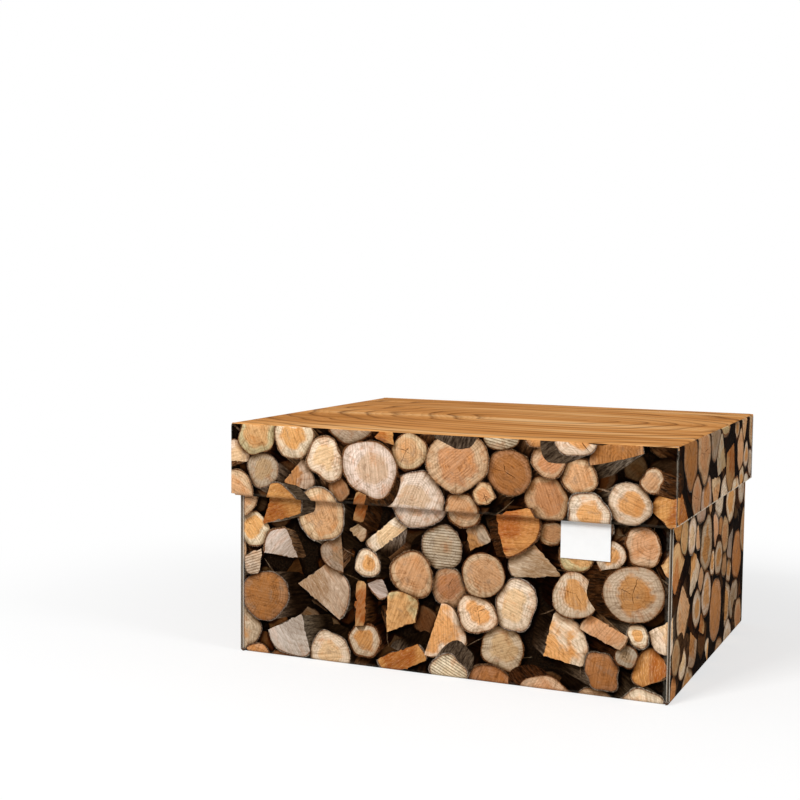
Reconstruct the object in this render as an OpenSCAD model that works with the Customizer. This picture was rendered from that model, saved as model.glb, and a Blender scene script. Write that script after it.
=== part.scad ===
// Kindling box of folded corrugated board: an open body tray and a deep lid tray that
// telescopes over it. Both trays share one construction. Each is a flat panel with four
// creases: two opposite walls are rolled over into three layers with a folded rim, and the
// other two are single, with corner flaps that are trapped inside the rolled walls.
// X is the long side, the front faces -Y, and the box stands on Z = 0.

/* [Body] */
// Length of the body over its two rolled end walls
body_l = 386; // [300:1:480]
// Width of the body over its front and back walls
body_w = 306; // [250:1:380]
// Height of the folded rims that carry the lid
body_h = 202.4; // [150:0.1:260]

/* [Lid] */
// Height of the lid over its top panel and skirt
lid_h = 64; // [50:0.5:90]
// Gap between a body end wall and the single end skirt of the lid
end_gap = 1.6; // [0.8:0.1:4]
// Gap between the front or back wall and the rolled skirt of the lid
side_gap = 1.6; // [1.2:0.1:4]

/* [Corrugated board] */
// Thickness of the board over both liners
board_t = 2.6; // [2.2:0.1:3.4]
// Thickness of each flat liner
liner_t = 0.35; // [0.25:0.05:0.5]
// Thickness of the fluted sheet between the liners
medium_t = 0.3; // [0.2:0.05:0.4]
// Distance from one flute crest to the next
flute_pitch = 6.5; // [5:0.1:9]
// Inside radius of a fold
fold_r = 0.5; // [0.3:0.1:0.8]

/* [Cut edges, flaps and tabs] */
// How far a raw wall edge stays short of the folded rims
edge_drop = 1.5; // [0.5:0.1:4]
// Play above a corner flap, under the rim that traps it
flap_gap = 0.4; // [0.2:0.1:1]
// Length of the four body corner flaps
body_flap_l = 110; // [60:1:120]
// Length of the four lid corner flaps
lid_flap_l = 62; // [40:1:80]
// How much narrower a flap is at its tip, on each edge
flap_taper = 5; // [0:0.5:8]
// Radius of the two corners at the tip of a flap
flap_corner_r = 9; // [2:0.5:15]
// Width of a lock tab at the foot of the body's inner end walls
tab_w = 48; // [25:1:60]
// Distance between the two lock tabs of one end wall
tab_spacing = 150; // [90:1:180]
// Play round a lock tab in its slot
slot_gap = 0.3; // [0.1:0.1:1]
// How far the tip of a lock tab stays inside the slot
tab_inset = 0.3; // [0.1:0.1:1]

/* [Label tag] */
// Width of the hanging label tag
label_w = 41; // [20:1:60]
// Length of the tag that hangs below the lid
label_drop = 31; // [15:1:45]
// Length of the tag that is glued inside the front skirt
label_tail = 18; // [8:1:24]
// Thickness of the tag
label_t = 0.4; // [0.2:0.1:0.8]
// Distance from the right end of the lid to the middle of the tag
label_from_end = 74; // [40:1:120]

/* [Hidden] */
$fn = 64;

PRINT = "#8F6A48";       // printed outer liner, its average colour
PLANK = "#C08C52";       // wood-print top, its average colour
LINER = "#F0EEE8";       // white inner liner
BOARD = "#C9A77C";       // folded and cut board
TAG = "#FBFBFA";         // plain label tag

bend_r = board_t + fold_r;              // outside radius of a fold
roll_t = 3 * board_t;                   // a rolled wall: outer panel, flap and inner panel
wave_h = (board_t - 2 * liner_t - medium_t) / 2;  // height of the flute wave each way
lid_l = body_l + 2 * (end_gap + board_t);
lid_w = body_w + 2 * (side_gap + roll_t);
total_h = body_h + board_t;             // the lid's top panel lies on the body's rims

// A tray is [size across its rolled walls, size across its single walls, height,
// length of its corner flaps, true if the flutes stand upright in its rolled walls,
// true if it has lock tabs].
BODY = [body_l, body_w, body_h, body_flap_l, true, true];
LID = [lid_w, lid_l, lid_h, lid_flap_l, false, false];
function across(tray) = tray[0];
function along(tray) = tray[1];
function height(tray) = tray[2];
function flap_len(tray) = tray[3];
function upright(tray) = tray[4];
function has_tabs(tray) = tray[5];

CUT = 1;                 // how far a cut is drawn past the board on each face

// Corners of a flute gap, as angles of the wave counted from its crest (360 is one pitch):
// the four that follow the fluted sheet, and the two where the gap meets the liner.
WAVE_CORNERS = [-135, -60, 60, 135];
LINER_CORNERS = [155, -155];

// Sides of a tray, counted anticlockwise from -Y. The rolled walls are on the X sides.
MINUS_Y = 0;
PLUS_X = 1;
PLUS_Y = 2;
MINUS_X = 3;

// Half the length of a rim and its inner panel, which stand between the folds of the flaps.
function rolled_half(tray) = along(tray) / 2 - bend_r;
// Where a single wall ends and the fold of its corner flap starts.
function single_half(tray) = across(tray) / 2 - board_t - bend_r;

// ---- Corrugated board ------------------------------------------------------------------

// The gap between the fluted sheet and one liner, as a closed outline. side is 1 under the
// inner liner and -1 under the outer one, and pitch is the true pitch of this panel.
function flute_gap(x, side, pitch) = concat(
  [for (a = WAVE_CORNERS)
    [x + a / 360 * pitch, board_t / 2 - side * (wave_h * cos(a) - medium_t / 2)]],
  [for (a = LINER_CORNERS)
    [x + a / 360 * pitch, board_t / 2 + side * (board_t / 2 - liner_t)]]
);

// Section across the flutes: liner, wave and liner. X runs along the panel from -len / 2,
// and Y is depth from the outer face. A whole number of half waves fits between the two
// cut edges, so each of them opens a flute.
module board_section(len) {
  halves = round(2 * len / flute_pitch);
  step = len / halves;
  difference() {
    translate([-len / 2, 0]) square([len, board_t]);
    for (i = [0 : halves])
      polygon(flute_gap(i * step - len / 2, i % 2 == 0 ? -1 : 1, 2 * step));
  }
}

// A flat wall panel of width len between the heights z0 and z1, outer face on Y = 0.
module board_wall(len, z0, z1, up) {
  if (up)
    translate([0, 0, z0]) linear_extrude(z1 - z0) board_section(len);
  else
    translate([-len / 2, 0, (z0 + z1) / 2]) rotate([90, 0, 90])
      linear_extrude(len) rotate([0, 0, 90]) mirror([0, 1]) board_section(z1 - z0);
}

// ---- Folds -----------------------------------------------------------------------------

// Section of a quarter fold whose outer corner is at the origin and whose legs leave
// along +X and +Y. The flutes are crushed flat there, so it is solid.
module fold_section() {
  translate([bend_r, bend_r]) intersection() {
    difference() {
      circle(bend_r);
      circle(fold_r);
    }
    translate([-bend_r, -bend_r]) square(bend_r);
  }
}

// Section of a rolled rim, mouth down, with its top on Y = 0: two folds and the spine
// that bridges the three layers of the wall.
module rim_section() {
  mirror([0, 1]) {
    fold_section();
    translate([bend_r, 0]) square([roll_t - 2 * bend_r, board_t]);
    translate([roll_t, 0]) mirror([1, 0]) fold_section();
  }
}

// Extrudes a section of depth and height along the wall, centred on X = 0.
module run_along(len)
  translate([-len / 2, 0, 0]) rotate([90, 0, 90]) linear_extrude(len) children();

// ---- Panels of a tray ------------------------------------------------------------------

// Puts a wall that was drawn with its outer face on Y = 0 onto one side of a tray.
module on_side(side, tray)
  rotate([0, 0, 90 * side])
    translate([0, -(side % 2 == 0 ? along(tray) : across(tray)) / 2, 0]) children();

// The floor of a tray (or the top of a lid) with the crease along each of its four sides.
module floor_panel(tray) {
  difference() {
    union() {
      translate([bend_r - across(tray) / 2, bend_r - along(tray) / 2, 0])
        cube([across(tray) - 2 * bend_r, along(tray) - 2 * bend_r, board_t]);
      for (side = [PLUS_X, MINUS_X])
        on_side(side, tray) run_along(along(tray)) fold_section();
      for (side = [MINUS_Y, PLUS_Y])
        on_side(side, tray) run_along(across(tray) - 2 * board_t) fold_section();
    }
    if (has_tabs(tray))
      for (side = [PLUS_X, MINUS_X], end = [-1, 1])
        on_side(side, tray)
          translate([end * tab_spacing / 2 - tab_w / 2 - slot_gap, 2 * board_t - slot_gap, -CUT])
            cube([tab_w + 2 * slot_gap, board_t + 2 * slot_gap, board_t + 2 * CUT]);
  }
}

// A single wall, with its raw edge on top.
module single_wall(tray, side)
  on_side(side, tray)
    board_wall(2 * single_half(tray), bend_r, height(tray) - edge_drop, !upright(tray));

// The outer layer of a rolled wall. Its two top corners stand up beside the rim and close
// the corner over the fold of the flap.
module rolled_outer(tray, side)
  on_side(side, tray) {
    board_wall(along(tray), bend_r, height(tray) - bend_r, upright(tray));
    for (end = [-1, 1])
      translate([end * (along(tray) - bend_r) / 2 - bend_r / 2, 0, height(tray) - bend_r])
        cube([bend_r, board_t, bend_r - edge_drop]);
  }

// The folded rim of a rolled wall.
module rolled_rim(tray, side)
  on_side(side, tray)
    run_along(2 * rolled_half(tray)) translate([0, height(tray)]) rim_section();

// The inner layer of a rolled wall. On the body it ends in two tabs that lock in the floor.
module rolled_inner(tray, side)
  on_side(side, tray) translate([0, 2 * board_t, 0]) {
    board_wall(2 * rolled_half(tray), board_t, height(tray) - bend_r, upright(tray));
    if (has_tabs(tray))
      for (end = [-1, 1])
        translate([end * tab_spacing / 2 - tab_w / 2, 0, tab_inset])
          cube([tab_w, board_t, board_t - tab_inset]);
  }

// Outline of a corner flap, root on X = 0, narrowing to a tip with two round corners.
module flap_outline(len, width) {
  tip_w = width - 2 * flap_taper;
  polygon([[0, 0], [len - flap_corner_r, flap_taper], [len, flap_taper + flap_corner_r],
    [len, flap_taper + tip_w - flap_corner_r], [len - flap_corner_r, flap_taper + tip_w],
    [0, width]]);
  for (y = [flap_taper + flap_corner_r, flap_taper + tip_w - flap_corner_r])
    translate([len - flap_corner_r, y]) circle(flap_corner_r);
}

// A corner flap: the upright fold at the end of a single wall, and the flap itself, which
// lies in the middle layer of the rolled wall. end is 1 or -1 along the single wall.
module corner_flap(tray, side, end) {
  flap_top = height(tray) - board_t - fold_r - flap_gap;
  on_side(side, tray) scale([end, 1, 1]) {
    translate([across(tray) / 2 - board_t, 0, bend_r])
      linear_extrude(height(tray) - edge_drop - bend_r) mirror([1, 0]) fold_section();
    translate([across(tray) / 2 - 2 * board_t, bend_r, bend_r])
      rotate([90, 0, 90]) linear_extrude(board_t)
        flap_outline(flap_len(tray) - bend_r, flap_top - bend_r);
  }
}

// ---- Body ------------------------------------------------------------------------------

module base_panel() color(LINER) floor_panel(BODY);
module front_wall() color(PRINT) single_wall(BODY, MINUS_Y);
module back_wall() color(PRINT) single_wall(BODY, PLUS_Y);
module end_outer(side) color(PRINT) rolled_outer(BODY, side);
module end_rim(side) color(PRINT) rolled_rim(BODY, side);
module end_inner(side) color(LINER) rolled_inner(BODY, side);
module body_flap(side, end) color(BOARD) corner_flap(BODY, side, end);

// ---- Lid -------------------------------------------------------------------------------

// Turns a tray over: its rolled walls become the front and back skirts of the lid.
module as_lid() translate([0, 0, total_h]) rotate([180, 0, 90]) children();

module lid_top_panel() color(PLANK) as_lid() floor_panel(LID);
module lid_end(side) color(PRINT) as_lid() single_wall(LID, side);
module lid_skirt(side) color(PRINT) as_lid() rolled_outer(LID, side);
module lid_rim(side) color(PRINT) as_lid() rolled_rim(LID, side);
module lid_inner(side) color(LINER) as_lid() rolled_inner(LID, side);
module lid_flap(side, end) color(BOARD) as_lid() corner_flap(LID, side, end);

// The label tag hangs from the inner face of the front skirt, clear of the body.
module label_tab()
  color(TAG)
    translate([lid_l / 2 - label_from_end - label_w / 2, roll_t - lid_w / 2,
      total_h - lid_h - label_drop])
      cube([label_w, label_t, label_drop + label_tail]);

// ---- Assembly --------------------------------------------------------------------------

base_panel();
front_wall();
back_wall();
end_outer(MINUS_X);  // left_end_outer
end_outer(PLUS_X);  // right_end_outer
end_rim(MINUS_X);  // left_end_rim
end_rim(PLUS_X);  // right_end_rim
end_inner(MINUS_X);  // left_end_inner
end_inner(PLUS_X);  // right_end_inner
body_flap(MINUS_Y, -1);  // front_left_flap
body_flap(MINUS_Y, 1);  // front_right_flap
body_flap(PLUS_Y, 1);  // back_left_flap
body_flap(PLUS_Y, -1);  // back_right_flap
lid_top_panel();
lid_end(MINUS_Y);  // lid_left_end
lid_end(PLUS_Y);  // lid_right_end
lid_skirt(MINUS_X);  // lid_front_skirt
lid_skirt(PLUS_X);  // lid_back_skirt
lid_rim(MINUS_X);  // lid_front_rim
lid_rim(PLUS_X);  // lid_back_rim
lid_inner(MINUS_X);  // lid_front_inner
lid_inner(PLUS_X);  // lid_back_inner
lid_flap(MINUS_Y, -1);  // lid_front_left_flap
lid_flap(PLUS_Y, 1);  // lid_front_right_flap
lid_flap(MINUS_Y, 1);  // lid_back_left_flap
lid_flap(PLUS_Y, -1);  // lid_back_right_flap
label_tab();
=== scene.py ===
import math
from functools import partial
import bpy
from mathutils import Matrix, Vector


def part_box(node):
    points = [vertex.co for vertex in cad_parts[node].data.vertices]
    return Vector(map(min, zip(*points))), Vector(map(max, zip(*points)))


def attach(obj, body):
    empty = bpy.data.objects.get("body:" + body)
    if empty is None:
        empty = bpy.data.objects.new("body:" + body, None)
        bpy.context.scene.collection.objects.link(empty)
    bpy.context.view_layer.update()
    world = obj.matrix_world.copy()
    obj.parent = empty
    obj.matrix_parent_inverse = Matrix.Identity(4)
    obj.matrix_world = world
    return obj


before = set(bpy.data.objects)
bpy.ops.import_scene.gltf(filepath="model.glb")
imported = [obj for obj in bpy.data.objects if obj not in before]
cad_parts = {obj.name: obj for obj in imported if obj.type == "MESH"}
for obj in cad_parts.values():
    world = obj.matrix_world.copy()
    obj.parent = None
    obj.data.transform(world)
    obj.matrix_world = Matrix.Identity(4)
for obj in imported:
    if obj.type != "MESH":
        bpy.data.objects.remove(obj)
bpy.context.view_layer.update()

# The looks of a folded corrugated-board box with a deep lid: a printed picture of stacked
# firewood on all its walls, a plank on its lid, white liner inside, brown fluting at each cut
# edge and a bare white label. Blender's lengths are metres. The printed picture is laid out
# flat in millimetres, cut into one sheet for each wall, and folded round the board.
from types import SimpleNamespace

import bpy
import numpy as np
from mathutils import Matrix, Vector
from mathutils.geometry import delaunay_2d_cdt

MM = 0.001
TURN = 2 * math.pi


def size_of(node):
    """A CAD node's lowest and highest corner in millimetres."""
    low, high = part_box(node)
    return low / MM, high / MM


def linear(hex_colour):
    """An sRGB hex colour as Blender's linear RGBA."""
    channels = [int(hex_colour[i:i + 2], 16) / 255 for i in (1, 3, 5)]
    return [c / 12.92 if c <= 0.04045 else ((c + 0.055) / 1.055) ** 2.4 for c in channels] + [1.0]


# ---- Sizes, all taken from the frame, in millimetres ----
front_low, front_high = size_of("front_wall")
_, end_high = size_of("right_end_outer")
rim_low, rim_high = size_of("right_end_rim")
_, top_high = size_of("lid_top_panel")
skirt_low, skirt_high = size_of("lid_front_skirt")
lid_end_low, lid_end_high = size_of("lid_right_end")
_, lid_rim_high = size_of("lid_front_rim")

crease_r = front_low.z  # outside radius of every crease
body_half_x = end_high.x
body_half_y = end_high.y
lid_half_x = top_high.x
lid_half_y = top_high.y
total_h = top_high.z

# The printed sheet lies this far proud of the board, so that the two never share a face.
SHEET_PROUD = 0.15
SHEET_T = 0.1
sheet_r = crease_r + SHEET_PROUD
quarter_arc = sheet_r * math.pi / 2
roll_flat = (rim_high.x - rim_low.x) - 2 * crease_r
TURN_IN = 10.0  # how far the print runs on past a rolled rim
SANDWICH_ANGLE = math.radians(68)  # where a crease slips behind the next panel
MITRE_ANGLE = math.radians(45)  # where the wall's print meets the plank's
EDGE_INSET = 0.05  # how far the print stops short of a raw edge


# ---- The picture: a pile of firewood, in millimetres round the box ----
PICTURE_SEED = 12
wall_step = body_half_x + body_half_y  # from the middle of one wall to the next one's
picture_round = 4 * wall_step  # the picture closes on itself here
picture_low, picture_middle, picture_high = -6.0, 100.0, 226.0
SIZE_SHARES = ((0.20, (20.0, 27.0)), (0.54, (14.5, 20.0)), (0.26, (9.0, 13.5)))
PILE_FILL = 0.87
OUTLINE_STEP = 2.1  # spacing of the points along a log's outline
STEP_GROUP = 12  # their number is a multiple of this, so that every 2nd, 3rd or 4th may be kept
FORWARD = 0.86  # logs with more depth than this stand forward
FORWARD_SIDE, HIDDEN_SIDE = (8, 16), (13, 32)  # shortest and longest side seen, in mm
SIDE_REACH = 0.15  # how fast logs' sides run to the middle of a wall
OVERLAP, GIVE = 0.22, 0.04  # how far a log reaches over one behind it, and over one in front
NEIGHBOUR_GAP = 14.0  # logs further apart than this don't meet
ROUNDNESS = 10.0  # how tightly a log's corners are rounded where it meets its neighbours
SHADOW_REACH = 5.0
SHADOW_SHIFT = np.array((0.9, -1.4))
DEEPEST_SHADOW = 0.2  # share of the light that it leaves
SIDE_LIGHT, HIDDEN_LIGHT = (1.0, 0.4), (0.85, 0.05)  # on a side, near its end and far back
BARK_T = (0.7, 1.9)  # thinnest and thickest bark of a middling log
PITH_DRIFT = 0.14  # how far off its middle a log's pith lies, in radii
TORN_SHARE = 0.6  # of the logs that were split more than once
PACK_ROUNDS, DEEP_ROUNDS = 300, 60
DEEP_RADII, DEEP_SHADE = (9, 19), (0.04, 0.15)  # of the logs seen in the dark gaps
TWIGS = 130

# Sawn ends as a woodpile shows them: (share of the logs, sapwood, heartwood, how far out the
# heart reaches, strength of the saw lines).
SAWN_ENDS = (
    (0.22, "#F9E2C6", "#EBAE6E", 0.62, 0.05),
    (0.26, "#F5D2AB", "#E8B282", 0.78, 0.12),
    (0.09, "#E2A97A", "#CF8F56", 0.85, 0.15),
    (0.18, "#F9E2C8", "#F2CDA0", 0.60, 0.10),
    (0.10, "#E2CFBC", "#D0B394", 0.55, 0.20),
    (0.07, "#F1C8A0", "#E2A272", 0.70, 0.15),
    (0.05, "#E6D4A4", "#EFBA7E", 0.80, 0.10),
    (0.03, "#F9E8D0", "#F5DEC0", 0.50, 1.00),
)
SPLIT_FACES = (
    ("#F8CC92", "#C87434"), ("#EADDD2", "#B5A496"), ("#F2B26A", "#B86528"), ("#EBD0B2", "#B08A62"))
CRUSTS = (("#A07C5C", "#3C2A1E"), ("#AA9C8E", "#4A3D34"), ("#8C5E3A", "#2C1A10"))
TWIG_COLOURS = ("#C4B19A", "#66513E")
DARK_GAP = ("#3A2A1E", "#0C0806")
GAP_SHADE = 0.35
TORN = 0.6  # how much of a sawn end's marks a torn face takes
FACE_GLOW = np.array((-0.05, 0.10))  # how much lighter an end grows towards its top left

# What the picture carries at each corner of a sheet's triangles:
# log_spot   place in the log's own turned millimetres, and a number of its own
# log_form   radius, share of the way from pith to rim, shade
# log_marks  1 on a sawn end, strength of the saw lines (or of bark's red inner line), heart
# log_pale   and log_deep, its two colours
LAYERS = ("log_spot", "log_form", "log_marks", "log_pale", "log_deep")
FORM, SHADE = 1, 2


def wrapped(distance):
    """A difference along the strip, taken the short way round."""
    return (distance + picture_round / 2) % picture_round - picture_round / 2


def heading(angle):
    return np.array((math.cos(angle), math.sin(angle)))


def scatter(count, rng):
    return np.stack([rng.uniform(0, picture_round, count), rng.uniform(picture_low, picture_high, count)], 1)


PUSH, JOSTLE = 0.42, 0.25  # share of an overlap that each circle yields, and its shaking in mm
BORDER = 6  # how far circles may lie past the picture's edge


def push_apart(centres, radii, rounds, rng):
    """Moves circles that overlap away from each other, again and again, until they lie packed."""
    for step in range(rounds):
        across = wrapped(centres[:, None, 0] - centres[None, :, 0])
        up = centres[:, None, 1] - centres[None, :, 1]
        distance = np.hypot(across, up) + 1e-6
        overlap = np.maximum(radii[:, None] + radii[None, :] - distance, 0)
        np.fill_diagonal(overlap, 0)
        centres[:, 0] += PUSH * (overlap * across / distance).sum(1)
        centres[:, 1] += PUSH * (overlap * up / distance).sum(1)
        centres[:, 1] = np.clip(centres[:, 1], picture_low - BORDER, picture_high + BORDER)
        if step < rounds // 2:
            centres += rng.normal(0, JOSTLE, centres.shape)
    centres[:, 0] %= picture_round
    return centres


def draw_sizes(rng):
    """Radii of the logs, mixed as in a woodpile, enough of them to fill the strip."""
    strip = picture_round * (picture_high - picture_low)
    shares = [share for share, _ in SIZE_SHARES]
    radii = []
    while sum(math.pi * r * r for r in radii) < PILE_FILL * strip:
        _, (low, high) = SIZE_SHARES[rng.choice(len(SIZE_SHARES), p=shares)]
        radii.append(rng.uniform(low, high))
    return np.array(radii)


FAR = 1e4
GRAZING = 0.05  # below this cosine a line is taken as never reached


def line_reach(angles, direction, distance):
    """How far a straight line lies from the centre, in each direction."""
    facing = np.cos(angles - direction)
    return np.where(facing > GRAZING, distance / np.maximum(facing, GRAZING), FAR)


FORMS = ("round", "half", "wedge", "slab", "billet")
FORM_SHARES = (0.76, 0.06, 0.10, 0.03, 0.05)


def split_lines(form, radius, rng):
    """Where a log was split: (direction, distance) of each straight side."""
    first = rng.uniform(0, TURN)
    if form == "half":
        return [(first, radius * rng.uniform(0.05, 0.35))]
    if form == "wedge":
        return [(first, radius * rng.uniform(0.25, 0.6)),
                (first + rng.uniform(1.5, 2.3), radius * rng.uniform(0.3, 0.65))]
    if form == "slab":
        return [(first, radius * rng.uniform(0.25, 0.5)), (first + math.pi, radius * rng.uniform(0.3, 0.55))]
    if form == "billet":
        return [(first + turn, radius * rng.uniform(0.45, 0.85)) for turn in (0, 2.0, 4.1)]
    return []


def dye(colours, rng):
    """Linear colours, varied a little, as one log differs from the next."""
    plain = np.array([linear(colour)[:3] for colour in colours])
    return plain * rng.normal(1, 0.09) * rng.normal(1, 0.02, 3)


def make_log(index, centres, radii, depths, rng):
    """One log end of the picture. It is round with lobes of its own, gives way a little to the
    neighbours that lie further forward, and is straight and barkless where it was split."""
    form = rng.choice(FORMS, p=FORM_SHARES)
    radius = radii[index]
    lines = split_lines(form, radius, rng)
    count = STEP_GROUP * max(3, round(TURN * radius / OUTLINE_STEP / STEP_GROUP))
    angles = np.arange(count) * TURN / count
    lobes = np.full(count, rng.uniform(1.04, 1.17) + 0.15 * len(lines))
    for waves in range(2, 7):
        lobes += rng.normal(0, 0.14 / waves) * np.cos(waves * angles + rng.uniform(0, TURN))
    limits = [radius * lobes]
    across = wrapped(centres[:, 0] - centres[index, 0])
    up = centres[:, 1] - centres[index, 1]
    distance = np.hypot(across, up)
    for other in np.flatnonzero((distance > 0) & (distance < radius + radii + NEIGHBOUR_GAP)):
        meet = (distance[other] ** 2 + radius**2 - radii[other] ** 2) / (2 * distance[other])
        meet += radius * (OVERLAP if depths[index] > depths[other] else GIVE)
        limits.append(line_reach(angles, math.atan2(up[other], across[other]), max(meet, 3.0)))
    round_part = sum(limit**-ROUNDNESS for limit in limits) ** (-1 / ROUNDNESS)
    straight = np.min([line_reach(angles, *line) for line in lines] + [np.full(count, FAR)], 0)
    torn = np.convolve(rng.normal(0, 0.9 if len(lines) > 1 else 0.35, count + 2), (0.3, 0.4, 0.3), "valid")
    outline = np.maximum(np.minimum(round_part, straight + torn), 1.5)
    barked = np.clip((straight - round_part) / 1.5, 0, 1)
    bark_t = rng.uniform(*BARK_T) * (0.6 + radius / 40) * barked
    flaky = np.convolve(rng.normal(0, 0.55, count + 2), (0.25, 0.5, 0.25), "valid") * barked
    pith = rng.normal(0, PITH_DRIFT, 2) * radius
    if len(lines) > 1 and form != "slab":
        sides = np.array([heading(direction) for direction, _ in lines[:2]])
        pith = np.linalg.solve(sides, [reach for _, reach in lines[:2]])
    elif lines:
        pith = heading(lines[0][0]) * lines[0][1]
    rim = np.stack([outline * np.cos(angles), outline * np.sin(angles)], 1)
    torn_face = len(lines) > 1 and rng.random() < TORN_SHARE
    end = SAWN_ENDS[rng.choice(len(SAWN_ENDS), p=[share for share, *_ in SAWN_ENDS])]
    return SimpleNamespace(
        centre=centres[index].copy(), radius=radius, angles=angles, bark=outline + flaky,
        wood=np.maximum(outline - bark_t + rng.normal(0, 0.08, count), 1.0), pith=pith, split=bool(lines),
        grown=np.linalg.norm(rim - pith, axis=1).max(), turn=rng.uniform(0, TURN), torn=torn_face,
        colours=dye(SPLIT_FACES[rng.integers(len(SPLIT_FACES))] if torn_face else end[1:3], rng),
        crust=dye(CRUSTS[rng.integers(len(CRUSTS))], rng),
        marks=(TORN, 0, 0.6) if torn_face else (1, end[4], end[3]),
        shade=1 - 0.45 * rng.random() ** 2.2, depth=depths[index], cracks=max(0, rng.integers(-9, 5)),
        seed=rng.uniform(0, 90))


def ring_points(log, distances, share=1.0, every=1, shift=(0, 0)):
    """Points round a log, a share of the way out from its middle."""
    reach = distances[::every] * share
    angles = log.angles[::every]
    return log.centre + np.array(shift) + np.stack([reach * np.cos(angles), reach * np.sin(angles)], 1)


def strip_points(start, direction, length, width, bend, rng, steps=6):
    """A thin crooked strip that tapers at both ends, as a dry crack or a twig does."""
    along = np.linspace(0, length, steps)[:, None]
    side = heading(direction + math.pi / 2)
    crook = np.cumsum(rng.normal(0, bend * length / steps, steps))[:, None]
    middle = start + along * heading(direction) + crook * side
    half = (width / 2 * np.sin(np.linspace(0.25, math.pi * 0.97, steps)))[:, None]
    return np.concatenate([middle - side * half, (middle + side * half)[::-1]])


def side_points(log, away):
    """The barked side of a log, seen running back into the pile: its end, drawn out one way."""
    near = ring_points(log, log.bark, 0.97, 2)
    far = ring_points(log, log.bark, 0.86, 2, away)
    points = np.concatenate([near, far])
    spread = points - points.mean(0)
    points = points[np.argsort(np.arctan2(spread[:, 1], spread[:, 0]))]
    keep = []
    for point in np.concatenate([points, points[:1]]):
        while len(keep) > 1 and np.cross(keep[-1] - keep[-2], point - keep[-1]) <= 0:
            keep.pop()
        keep.append(point)
    return np.array(keep[:-1])


def patch(log, points, part, shade=1.0, away=None):
    return SimpleNamespace(log=log, points=points, part=part, shade=shade * log.shade, away=away)


RING_SHARES = (0.75, 0.3)  # where points inside a log's end carry its rings


def way_back(log, rng):
    """Where a log's far end lies in the picture: it runs towards the middle of its own wall."""
    middle = wall_step * round(log.centre[0] / wall_step)
    away = np.array((SIDE_REACH * (middle - log.centre[0]), SIDE_REACH * (picture_middle - log.centre[1])))
    away = away + rng.normal(0, 5, 2)
    length = np.linalg.norm(away)
    return away * np.clip(length, *(FORWARD_SIDE if log.depth > FORWARD else HIDDEN_SIDE)) / length


def log_side(log, rng):
    away = way_back(log, rng)
    return patch(log, side_points(log, away), "side", 1.0, away)


def log_patches(log, rng, deep=False):
    """The patches that paint one log, from its shadow up. Only a log that stands well forward
    shows its side over its neighbours, and a log deep in the dark is drawn simply."""
    patches = [patch(log, ring_points(log, log.bark + SHADOW_REACH, 1, 3, SHADOW_SHIFT), "shadow")]
    if log.depth > FORWARD:
        patches.append(log_side(log, rng))
    every = 2 if deep else 1
    patches.append(patch(log, ring_points(log, log.bark, 1, every), "bark"))
    patches.append(patch(log, ring_points(log, log.wood, 1, every), "wood"))
    for share in () if deep else RING_SHARES:
        middle = (0, 0) if log.split else log.pith * (1 - share)
        patches.append(patch(log, ring_points(log, log.wood, share, 2 if share > 0.5 else 4, middle), "wood"))
    if not (deep or log.torn or log.split):
        first = rng.uniform(0, TURN)
        for number in range(log.cracks):
            direction = first + number * TURN / log.cracks + rng.normal(0, 0.35)
            length = log.radius * rng.uniform(0.25, 0.8)
            crack = strip_points(log.centre + log.pith, direction, length, rng.uniform(0.35, 0.9), 0.16, rng)
            patches.append(patch(log, crack, "wood", 0.2))
    return patches


def make_picture():
    """Every patch of the picture, in the order in which they are painted, back to front."""
    rng = np.random.default_rng(PICTURE_SEED)
    radii = draw_sizes(rng)
    centres = push_apart(scatter(len(radii), rng), radii, PACK_ROUNDS, rng)
    depths = rng.random(len(radii))
    logs = [make_log(k, centres, radii, depths, rng) for k in range(len(radii))]
    logs.sort(key=lambda log: log.depth)

    # Deeper logs, in the dark, fill the places that the front ones leave open.
    deep_radii = rng.uniform(*DEEP_RADII, len(logs))
    deep_centres = push_apart(scatter(len(logs), rng), deep_radii * 0.9, DEEP_ROUNDS, rng)
    patches = []
    for k in range(len(deep_radii)):
        log = make_log(k, deep_centres, deep_radii, depths, rng)
        log.shade, log.depth = rng.uniform(*DEEP_SHADE), 0
        patches += log_patches(log, rng, deep=True)
    for log in logs:
        if log.depth <= FORWARD:
            patches += [patch(log, ring_points(log, log.bark + 3, 1, 4), "shadow"), log_side(log, rng)]
    for spot in scatter(TWIGS, rng):
        twig = SimpleNamespace(**vars(logs[0]))
        twig.centre = spot
        twig.crust = dye(TWIG_COLOURS, rng)
        twig.shade = rng.uniform(0.2, 0.8)
        length, width = rng.uniform(14, 46), rng.uniform(0.7, 1.8)
        points = strip_points(spot, rng.uniform(0, TURN), length, width, 0.10, rng)
        patches.append(patch(twig, points, "twig"))
    for log in logs:
        patches += log_patches(log, rng)
    return patches


# ---- Sheets: the picture cut to a wall, then folded round the board ----
MERGE_GAP = 1e-4  # points nearer to each other than this become one


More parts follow.
